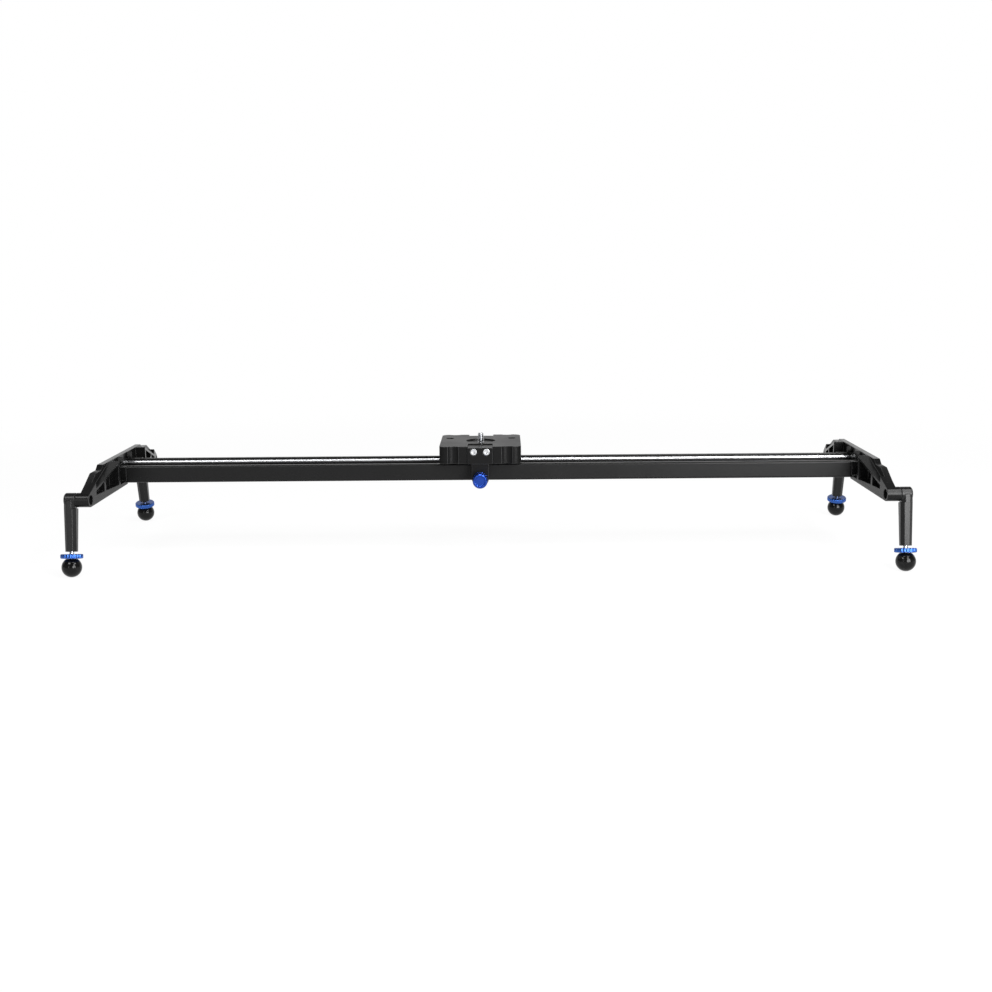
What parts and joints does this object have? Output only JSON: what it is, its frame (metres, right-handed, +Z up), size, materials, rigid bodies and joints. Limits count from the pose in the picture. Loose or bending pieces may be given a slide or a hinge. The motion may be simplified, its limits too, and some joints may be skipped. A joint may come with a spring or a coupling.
{
  "type": "camera slider",
  "caption": "Tabletop camera slider: a wheeled carriage with a side brake rolls along a channel rail between cast end brackets on folding legs with screw-adjusted ball feet.",
  "frame": {"origin": "middle of the rail, on the surface that the four ball feet stand on", "axes": "+X along the rail to the right, +Y away from the brake knob, +Z up"},
  "size_m": [0.8084, 0.2972, 0.1164],
  "materials": {
    "rail_black": "satin black anodised extrusion",
    "carriage_black": "satin black anodised, milled",
    "cast_black": "semi-gloss black cast alloy",
    "leg_black": "satin black anodised",
    "bright_steel": "bright ground steel",
    "wheel_steel": "ground bearing steel",
    "dark_screw": "black oxide steel",
    "spacer_alloy": "turned alloy",
    "rubber_black": "matt rubber",
    "nylon_black": "black nylon",
    "brake_lining": "firm rubber brake pad",
    "knob_blue": "blue anodised, fluted",
    "ring_blue": "blue anodised, knurled",
    "foot_black": "glossy black ball"
  },
  "bodies": {
    "track": {"rail": "rail_black", "track_rods": "bright_steel", "bracket_left": "cast_black", "bracket_right": "cast_black", "bracket_screws_left": "dark_screw", "bracket_screws_right": "dark_screw", "end_bumpers": "rubber_black", "knee_washers": "nylon_black"},
    "carriage": {"carriage_plate": "carriage_black", "camera_stud": "bright_steel", "brake_block": "carriage_black", "brake_block_screws": "bright_steel", "axle_bolts_front": "bright_steel", "axle_bolts_rear": "dark_screw", "axle_nuts": "bright_steel", "wheel_spacers": "spacer_alloy", "bearing_inner_rings": "bright_steel"},
    "wheel_front_left": {"wheel_front_left": "wheel_steel"},
    "wheel_front_right": {"wheel_front_right": "wheel_steel"},
    "wheel_rear_left": {"wheel_rear_left": "wheel_steel"},
    "wheel_rear_right": {"wheel_rear_right": "wheel_steel"},
    "brake_pad": {"brake_pad": "brake_lining"},
    "brake_knob": {"brake_knob": "knob_blue", "brake_screw": "bright_steel"},
    "leg_front_left": {"leg_front_left": "leg_black", "knee_bolt_front_left": "dark_screw"},
    "foot_stem_front_left": {"foot_stem_front_left": "bright_steel"},
    "foot_front_left": {"thumb_ring_front_left": "ring_blue", "foot_ball_front_left": "foot_black"},
    "leg_front_right": {"leg_front_right": "leg_black", "knee_bolt_front_right": "dark_screw"},
    "foot_stem_front_right": {"foot_stem_front_right": "bright_steel"},
    "foot_front_right": {"thumb_ring_front_right": "ring_blue", "foot_ball_front_right": "foot_black"},
    "leg_rear_left": {"leg_rear_left": "leg_black", "knee_bolt_rear_left": "dark_screw"},
    "foot_stem_rear_left": {"foot_stem_rear_left": "bright_steel"},
    "foot_rear_left": {"thumb_ring_rear_left": "ring_blue", "foot_ball_rear_left": "foot_black"},
    "leg_rear_right": {"leg_rear_right": "leg_black", "knee_bolt_rear_right": "dark_screw"},
    "foot_stem_rear_right": {"foot_stem_rear_right": "bright_steel"},
    "foot_rear_right": {"thumb_ring_rear_right": "ring_blue", "foot_ball_rear_right": "foot_black"}
  },
  "joints": [
    {"name": "carriage_slide", "type": "slide", "parent": "track", "child": "carriage", "axis": [1, 0, 0], "range_m": [-0.3247, 0.3407]},
    {"name": "wheel_front_left_spin", "type": "hinge", "parent": "carriage", "child": "wheel_front_left", "pos_m": [-0.04, -0.01735, 0.08483], "axis": [0, 0, 1], "range_deg": [-3800, 3800]},
    {"name": "wheel_front_right_spin", "type": "hinge", "parent": "carriage", "child": "wheel_front_right", "pos_m": [0.024, -0.01735, 0.08483], "axis": [0, 0, 1], "range_deg": [-3800, 3800]},
    {"name": "wheel_rear_left_spin", "type": "hinge", "parent": "carriage", "child": "wheel_rear_left", "pos_m": [-0.04, 0.01735, 0.08483], "axis": [0, 0, 1], "range_deg": [-3800, 3800]},
    {"name": "wheel_rear_right_spin", "type": "hinge", "parent": "carriage", "child": "wheel_rear_right", "pos_m": [0.024, 0.01735, 0.08483], "axis": [0, 0, 1], "range_deg": [-3800, 3800]},
    {"name": "brake_pad_slide", "type": "slide", "parent": "carriage", "child": "brake_pad", "axis": [0, 1, 0], "range_m": [-0.00131, 0.00026]},
    {"name": "brake_knob_turn", "type": "hinge", "parent": "brake_pad", "child": "brake_knob", "pos_m": [-0.008, -0.05, 0.07633], "axis": [0, 1, 0], "range_deg": [-585, 112.5]},
    {"name": "leg_front_left_fold", "type": "hinge", "parent": "track", "child": "leg_front_left", "pos_m": [-0.3895, -0.127, 0.07183], "axis": [-1, 0, 0], "range_deg": [-70, 166]},
    {"name": "foot_stem_front_left_slide", "type": "slide", "parent": "leg_front_left", "child": "foot_stem_front_left", "axis": [0, -0.1908, -0.9816], "range_m": [-0.0014, 0.0091]},
    {"name": "foot_front_left_turn", "type": "hinge", "parent": "foot_stem_front_left", "child": "foot_front_left", "pos_m": [-0.3937, -0.13912, 0.0095], "axis": [0, -0.1908, -0.9816], "range_deg": [-585, 4050]},
    {"name": "leg_front_right_fold", "type": "hinge", "parent": "track", "child": "leg_front_right", "pos_m": [0.3895, -0.127, 0.07183], "axis": [-1, 0, 0], "range_deg": [-70, 166]},
    {"name": "foot_stem_front_right_slide", "type": "slide", "parent": "leg_front_right", "child": "foot_stem_front_right", "axis": [0, -0.1908, -0.9816], "range_m": [-0.0014, 0.0091]},
    {"name": "foot_front_right_turn", "type": "hinge", "parent": "foot_stem_front_right", "child": "foot_front_right", "pos_m": [0.3937, -0.13912, 0.0095], "axis": [0, -0.1908, -0.9816], "range_deg": [-585, 4050]},
    {"name": "leg_rear_left_fold", "type": "hinge", "parent": "track", "child": "leg_rear_left", "pos_m": [-0.3895, 0.127, 0.07183], "axis": [1, 0, 0], "range_deg": [-70, 166]},
    {"name": "foot_stem_rear_left_slide", "type": "slide", "parent": "leg_rear_left", "child": "foot_stem_rear_left", "axis": [0, 0.1908, -0.9816], "range_m": [-0.0014, 0.0091]},
    {"name": "foot_rear_left_turn", "type": "hinge", "parent": "foot_stem_rear_left", "child": "foot_rear_left", "pos_m": [-0.3937, 0.13912, 0.0095], "axis": [0, 0.1908, -0.9816], "range_deg": [-585, 4050]},
    {"name": "leg_rear_right_fold", "type": "hinge", "parent": "track", "child": "leg_rear_right", "pos_m": [0.3895, 0.127, 0.07183], "axis": [1, 0, 0], "range_deg": [-70, 166]},
    {"name": "foot_stem_rear_right_slide", "type": "slide", "parent": "leg_rear_right", "child": "foot_stem_rear_right", "axis": [0, 0.1908, -0.9816], "range_m": [-0.0014, 0.0091]},
    {"name": "foot_rear_right_turn", "type": "hinge", "parent": "foot_stem_rear_right", "child": "foot_rear_right", "pos_m": [0.3937, 0.13912, 0.0095], "axis": [0, 0.1908, -0.9816], "range_deg": [-585, 4050]}
  ],
  "couplings": [
    {"joint": "wheel_front_left_spin", "follows": "carriage_slide", "rad_per_m": -194.17},
    {"joint": "wheel_front_right_spin", "follows": "carriage_slide", "rad_per_m": -194.17},
    {"joint": "wheel_rear_left_spin", "follows": "carriage_slide", "rad_per_m": 194.17},
    {"joint": "wheel_rear_right_spin", "follows": "carriage_slide", "rad_per_m": 194.17},
    {"joint": "brake_pad_slide", "follows": "brake_knob_turn", "m_per_rad": 0.00012732},
    {"joint": "foot_stem_front_left_slide", "follows": "foot_front_left_turn", "m_per_rad": 0.00012732},
    {"joint": "foot_stem_front_right_slide", "follows": "foot_front_right_turn", "m_per_rad": 0.00012732},
    {"joint": "foot_stem_rear_left_slide", "follows": "foot_rear_left_turn", "m_per_rad": 0.00012732},
    {"joint": "foot_stem_rear_right_slide", "follows": "foot_rear_right_turn", "m_per_rad": 0.00012732}
  ]
}
